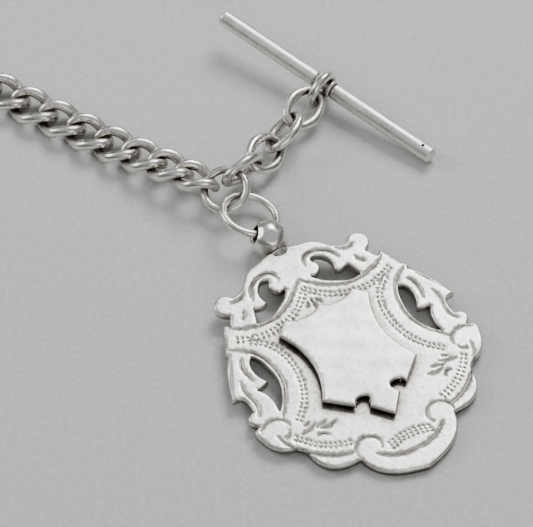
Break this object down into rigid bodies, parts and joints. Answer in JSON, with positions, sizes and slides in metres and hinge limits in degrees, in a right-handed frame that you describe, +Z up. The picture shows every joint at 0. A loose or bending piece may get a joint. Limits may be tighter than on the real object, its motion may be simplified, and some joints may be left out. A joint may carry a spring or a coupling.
{
  "type": "pocket watch chain",
  "caption": "Silver curb watch chain with a T-bar on oval links, an ornamental shield fob on rings, and a sprung swivel clip.",
  "frame": {"origin": "bottom centre of the bounding box of the chain as it lies on a table", "axes": "+Z up from the table; +X along the lie of the chain from the clip end's far curve towards the T-bar and fob; +Y away from the viewer"},
  "size_m": [0.187, 0.105, 0.0065],
  "materials": {
    "silver": "worn satin silver",
    "silver_medal": "satin silver, engraved",
    "silver_bar": "polished silver tube",
    "spring_steel": "bright steel"
  },
  "bodies": {
    "junction_ring": {"junction_ring": "silver"},
    "fob_ring": {"fob_ring": "silver"},
    "medal": {"medal_plate": "silver_medal", "medal_shield": "silver_medal", "fob_ball": "silver_medal"},
    "drop_link_4": {"drop_link_4": "silver"},
    "drop_link_3": {"drop_link_3": "silver"},
    "drop_link_2": {"drop_link_2": "silver"},
    "drop_link_1": {"drop_link_1": "silver"},
    "t_bar_ring": {"t_bar_ring": "silver_bar"},
    "t_bar": {"t_bar_spindle": "silver_bar", "t_bar_far_tube": "silver_bar", "t_bar_near_tube": "silver_bar", "t_bar_far_cap": "silver_bar", "t_bar_near_cap": "silver_bar", "t_bar_roped_collar": "silver_bar", "t_bar_plain_collar": "silver_bar"},
    "curb_01": {"curb_01": "silver"},
    "curb_02": {"curb_02": "silver"},
    "curb_03": {"curb_03": "silver"},
    "curb_04": {"curb_04": "silver"},
    "curb_05": {"curb_05": "silver"},
    "curb_06": {"curb_06": "silver"},
    "curb_07": {"curb_07": "silver"},
    "curb_08": {"curb_08": "silver"},
    "curb_09": {"curb_09": "silver"},
    "curb_10": {"curb_10": "silver"},
    "curb_11": {"curb_11": "silver"},
    "curb_12": {"curb_12": "silver"},
    "curb_13_14": {"curb_13_14": "silver"},
    "curb_15_16": {"curb_15_16": "silver"},
    "curb_17_18": {"curb_17_18": "silver"},
    "curb_19_20": {"curb_19_20": "silver"},
    "curb_21_22": {"curb_21_22": "silver"},
    "curb_23_24": {"curb_23_24": "silver"},
    "curb_25_26": {"curb_25_26": "silver"},
    "curb_27_28": {"curb_27_28": "silver"},
    "curb_29_30": {"curb_29_30": "silver"},
    "curb_31_32": {"curb_31_32": "silver"},
    "curb_33_34": {"curb_33_34": "silver"},
    "curb_35_36": {"curb_35_36": "silver"},
    "curb_37_38": {"curb_37_38": "silver"},
    "curb_39_40": {"curb_39_40": "silver"},
    "curb_41_42": {"curb_41_42": "silver"},
    "curb_43_44": {"curb_43_44": "silver"},
    "curb_45_46": {"curb_45_46": "silver"},
    "curb_47_48": {"curb_47_48": "silver"},
    "curb_49_50": {"curb_49_50": "silver"},
    "curb_51_52": {"curb_51_52": "silver"},
    "curb_53": {"curb_53": "silver"},
    "curb_54": {"curb_54": "silver"},
    "curb_55": {"curb_55": "silver"},
    "curb_56": {"curb_56": "silver"},
    "clip_ring": {"clip_ring": "silver"},
    "swivel_eye": {"swivel_eye": "silver"},
    "clip": {"clip_body": "silver", "gate_rivet": "spring_steel", "gate_spring": "spring_steel"},
    "clip_gate": {"clip_gate": "silver"}
  },
  "joints": [
    {"name": "fob_ring_swing", "type": "hinge", "parent": "junction_ring", "child": "fob_ring", "pos_m": [0.06118, -0.00792, 0.0037], "axis": [0.2423, 0.9097, 0.3373], "range_deg": [-2, 70]},
    {"name": "medal_swing", "type": "hinge", "parent": "fob_ring", "child": "medal", "pos_m": [0.06384, -0.01405, 0.00314], "axis": [0.7627, 0.5623, -0.3195], "range_deg": [-85, 85]},
    {"name": "drop_4_swing", "type": "hinge", "parent": "junction_ring", "child": "drop_link_4", "pos_m": [0.05991, -0.00476, 0.00453], "axis": [0.829, -0.5574, -0.045], "range_deg": [-50, 50]},
    {"name": "drop_3_swing", "type": "hinge", "parent": "drop_link_4", "child": "drop_link_3", "pos_m": [0.06282, -0.00157, 0.00263], "axis": [0.5028, 0.2077, 0.8391], "range_deg": [-60, 14]},
    {"name": "drop_2_swing", "type": "hinge", "parent": "drop_link_3", "child": "drop_link_2", "pos_m": [0.06517, 0.00289, 0.00245], "axis": [-0.7889, 0.2473, 0.5626], "range_deg": [-12, 60]},
    {"name": "drop_1_swing", "type": "hinge", "parent": "drop_link_2", "child": "drop_link_1", "pos_m": [0.06766, 0.0068, 0.00259], "axis": [-0.7942, 0.0428, -0.6061], "range_deg": [-60, 6]},
    {"name": "t_ring_swing", "type": "hinge", "parent": "drop_link_1", "child": "t_bar_ring", "pos_m": [0.07043, 0.00955, 0.00233], "axis": [-0.1478, -0.3325, 0.9314], "range_deg": [-40, 10]},
    {"name": "t_bar_spin", "type": "hinge", "parent": "t_bar_ring", "child": "t_bar", "pos_m": [0.07246, 0.01204, 0.00323], "axis": [-0.7878, 0.6089, 0.0924], "continuous": true},
    {"name": "curb_01_swing", "type": "hinge", "parent": "junction_ring", "child": "curb_01", "pos_m": [0.05672, -0.00657, 0.00371], "axis": [0.3547, 0.2604, -0.898], "range_deg": [-45, 32]},
    {"name": "curb_02_swing", "type": "hinge", "parent": "curb_01", "child": "curb_02", "pos_m": [0.05237, -0.00386, 0.00322], "axis": [0.0746, 0.2864, 0.9552], "range_deg": [-9, 12]},
    {"name": "curb_03_lift", "type": "hinge", "parent": "curb_02", "child": "curb_03", "pos_m": [0.04859, -0.00159, 0.00268], "axis": [0.526, 0.8346, -0.1637], "range_deg": [-9, 10]},
    {"name": "curb_04_swing", "type": "hinge", "parent": "curb_03", "child": "curb_04", "pos_m": [0.04475, 0.00072, 0.00205], "axis": [0.07, -0.1031, -0.9922], "range_deg": [-18, 18]},
    {"name": "curb_05_lift", "type": "hinge", "parent": "curb_04", "child": "curb_05", "pos_m": [0.04083, 0.00308, 0.00165], "axis": [-0.515, -0.8572, 0], "range_deg": [-20, 20]},
    {"name": "curb_06_swing", "type": "hinge", "parent": "curb_05", "child": "curb_06", "pos_m": [0.03683, 0.00548, 0.00165], "axis": [0, 0, 1], "range_deg": [-20, 20]},
    {"name": "curb_07_lift", "type": "hinge", "parent": "curb_06", "child": "curb_07", "pos_m": [0.03279, 0.00791, 0.00165], "axis": [0.515, 0.8572, 0], "range_deg": [-20, 20]},
    {"name": "curb_08_swing", "type": "hinge", "parent": "curb_07", "child": "curb_08", "pos_m": [0.0287, 0.01036, 0.00165], "axis": [0, 0, -1], "range_deg": [-20, 20]},
    {"name": "curb_09_lift", "type": "hinge", "parent": "curb_08", "child": "curb_09", "pos_m": [0.02457, 0.01284, 0.00165], "axis": [-0.515, -0.8572, 0], "range_deg": [-20, 20]},
    {"name": "curb_10_swing", "type": "hinge", "parent": "curb_09", "child": "curb_10", "pos_m": [0.0204, 0.01535, 0.00165], "axis": [0, 0, 1], "range_deg": [-20, 20]},
    {"name": "curb_11_lift", "type": "hinge", "parent": "curb_10", "child": "curb_11", "pos_m": [0.0162, 0.01788, 0.00165], "axis": [0.5184, 0.8552, 0], "range_deg": [-20, 20]},
    {"name": "curb_12_swing", "type": "hinge", "parent": "curb_11", "child": "curb_12", "pos_m": [0.01197, 0.02046, 0.00165], "axis": [0, 0, -1], "range_deg": [-20, 20]},
    {"name": "curb_13_lift", "type": "hinge", "parent": "curb_12", "child": "curb_13_14", "pos_m": [0.00774, 0.02309, 0.00165], "axis": [-0.5316, -0.847, 0], "range_deg": [-20, 20]},
    {"name": "curb_15_swing", "type": "hinge", "parent": "curb_13_14", "child": "curb_15_16", "pos_m": [-0.00076, 0.02852, 0.00165], "axis": [0, 0, 1], "range_deg": [-20, 20]},
    {"name": "curb_17_lift", "type": "hinge", "parent": "curb_15_16", "child": "curb_17_18", "pos_m": [-0.00927, 0.03414, 0.00165], "axis": [0.5576, 0.8301, 0], "range_deg": [-20, 20]},
    {"name": "curb_19_swing", "type": "hinge", "parent": "curb_17_18", "child": "curb_19_20", "pos_m": [-0.01779, 0.03996, 0.00165], "axis": [0, 0, -1], "range_deg": [-20, 20]},
    {"name": "curb_21_lift", "type": "hinge", "parent": "curb_19_20", "child": "curb_21_22", "pos_m": [-0.02663, 0.04541, 0.00165], "axis": [-0.4214, -0.9069, 0], "range_deg": [-20, 20]},
    {"name": "curb_23_swing", "type": "hinge", "parent": "curb_21_22", "child": "curb_23_24", "pos_m": [-0.03657, 0.04867, 0.00165], "axis": [0, 0, 1], "range_deg": [-20, 20]},
    {"name": "curb_25_lift", "type": "hinge", "parent": "curb_23_24", "child": "curb_25_26", "pos_m": [-0.04704, 0.04954, 0.00165], "axis": [-0.0341, 0.9994, 0], "range_deg": [-20, 20]},
    {"name": "curb_27_swing", "type": "hinge", "parent": "curb_25_26", "child": "curb_27_28", "pos_m": [-0.05746, 0.04795, 0.00165], "axis": [0, 0, -1], "range_deg": [-20, 20]},
    {"name": "curb_29_lift", "type": "hinge", "parent": "curb_27_28", "child": "curb_29_30", "pos_m": [-0.06725, 0.04398, 0.00165], "axis": [0.4822, -0.8761, 0], "range_deg": [-20, 20]},
    {"name": "curb_31_swing", "type": "hinge", "parent": "curb_29_30", "child": "curb_31_32", "pos_m": [-0.07584, 0.03784, 0.00165], "axis": [0, 0, 1], "range_deg": [-20, 20]},
    {"name": "curb_33_lift", "type": "hinge", "parent": "curb_31_32", "child": "curb_33_34", "pos_m": [-0.08276, 0.02988, 0.00165], "axis": [-0.8261, 0.5635, 0], "range_deg": [-20, 20]},
    {"name": "curb_35_swing", "type": "hinge", "parent": "curb_33_34", "child": "curb_35_36", "pos_m": [-0.08763, 0.02057, 0.00165], "axis": [0, 0, -1], "range_deg": [-20, 20]},
    {"name": "curb_37_lift", "type": "hinge", "parent": "curb_35_36", "child": "curb_37_38", "pos_m": [-0.09019, 0.01043, 0.00165], "axis": [0.9916, -0.1292, 0], "range_deg": [-20, 20]},
    {"name": "curb_39_swing", "type": "hinge", "parent": "curb_37_38", "child": "curb_39_40", "pos_m": [-0.09031, 0.00004, 0.00165], "axis": [0, 0, 1], "range_deg": [-20, 20]},
    {"name": "curb_41_lift", "type": "hinge", "parent": "curb_39_40", "child": "curb_41_42", "pos_m": [-0.08805, -0.01, 0.00165], "axis": [-0.9429, -0.333, 0], "range_deg": [-20, 20]},
    {"name": "curb_43_swing", "type": "hinge", "parent": "curb_41_42", "child": "curb_43_44", "pos_m": [-0.08355, -0.01914, 0.00165], "axis": [0, 0, -1], "range_deg": [-20, 20]},
    {"name": "curb_45_lift", "type": "hinge", "parent": "curb_43_44", "child": "curb_45_46", "pos_m": [-0.07714, -0.0269, 0.00165], "axis": [0.6905, 0.7233, 0], "range_deg": [-20, 20]},
    {"name": "curb_47_swing", "type": "hinge", "parent": "curb_45_46", "child": "curb_47_48", "pos_m": [-0.06921, -0.03286, 0.00165], "axis": [0, 0, 1], "range_deg": [-20, 20]},
    {"name": "curb_49_lift", "type": "hinge", "parent": "curb_47_48", "child": "curb_49_50", "pos_m": [-0.06027, -0.03676, 0.00165], "axis": [-0.289, -0.9573, 0], "range_deg": [-20, 20]},
    {"name": "curb_51_swing", "type": "hinge", "parent": "curb_49_50", "child": "curb_51_52", "pos_m": [-0.05085, -0.03844, 0.00165], "axis": [0, 0, -1], "range_deg": [-20, 20]},
    {"name": "curb_53_lift", "type": "hinge", "parent": "curb_51_52", "child": "curb_53", "pos_m": [-0.04147, -0.03844, 0.00165], "axis": [0, 1, 0], "range_deg": [-20, 20]},
    {"name": "curb_54_swing", "type": "hinge", "parent": "curb_53", "child": "curb_54", "pos_m": [-0.03688, -0.03844, 0.00165], "axis": [0, 0, 1], "range_deg": [-20, 20]},
    {"name": "curb_55_lift", "type": "hinge", "parent": "curb_54", "child": "curb_55", "pos_m": [-0.03235, -0.03844, 0.00165], "axis": [0, -1, 0], "range_deg": [-20, 20]},
    {"name": "curb_56_swing", "type": "hinge", "parent": "curb_55", "child": "curb_56", "pos_m": [-0.02791, -0.03844, 0.00188], "axis": [0.0698, 0, -0.9976], "range_deg": [-20, 20]},
    {"name": "clip_ring_swing", "type": "hinge", "parent": "curb_56", "child": "clip_ring", "pos_m": [-0.02422, -0.03844, 0.00227], "axis": [0, -0.829, -0.5592], "range_deg": [-45, 34]},
    {"name": "eye_swing", "type": "hinge", "parent": "clip_ring", "child": "swivel_eye", "pos_m": [-0.01872, -0.03844, 0.00227], "axis": [0, 0.829, 0.5592], "range_deg": [-50, 50]},
    {"name": "clip_swivel", "type": "hinge", "parent": "swivel_eye", "child": "clip", "pos_m": [-0.01787, -0.03844, 0.00227], "axis": [1, 0, 0], "continuous": true},
    {"name": "gate_hinge", "type": "hinge", "parent": "clip", "child": "clip_gate", "pos_m": [-0.00887, -0.03459, 0.00227], "axis": [0, 0, -1], "range_deg": [0, 35], "stiffness_Nm_per_rad": 0.002, "springref_deg": -17.19}
  ]
}
